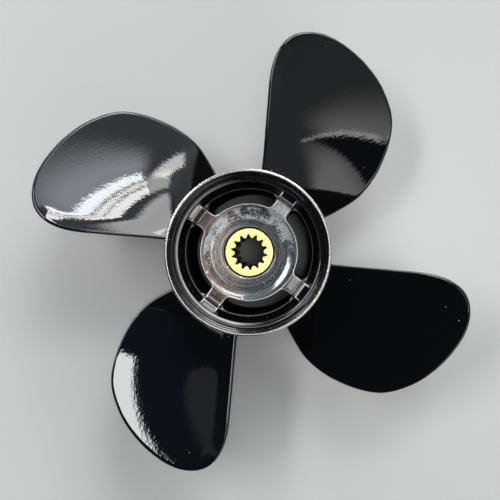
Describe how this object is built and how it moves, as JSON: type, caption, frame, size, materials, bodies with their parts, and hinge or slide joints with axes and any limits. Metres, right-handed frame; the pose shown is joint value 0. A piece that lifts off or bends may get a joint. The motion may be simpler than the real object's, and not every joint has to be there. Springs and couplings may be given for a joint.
{
  "type": "outboard boat propeller",
  "caption": "Cast boat propeller with broad swept blades, exhaust passages through its hub, a flared aft ring and a splined brass sleeve held in rubber.",
  "frame": {"origin": "on the shaft axis, in the plane of the barrel's forward end, on which the propeller stands", "axes": "+Z along the shaft and aft; +X and +Y square to it, each through the middle of an exhaust passage, with the ribs midway between them"},
  "size_m": [0.2132, 0.2132, 0.0872],
  "materials": {
    "casting": "gloss",
    "bushing": "matte",
    "sleeve": "satin"
  },
  "bodies": {
    "root": {"blade_1": "casting", "blade_2": "casting", "blade_3": "casting", "blade_4": "casting", "barrel": "casting", "flare_ring": "casting", "inner_hub": "casting", "rib_1": "casting", "rib_2": "casting", "rib_3": "casting", "rib_4": "casting", "ledge_1": "casting", "ledge_2": "casting", "ledge_3": "casting", "ledge_4": "casting", "rubber_bushing": "bushing", "splined_sleeve": "sleeve"}
  },
  "joints": []
}
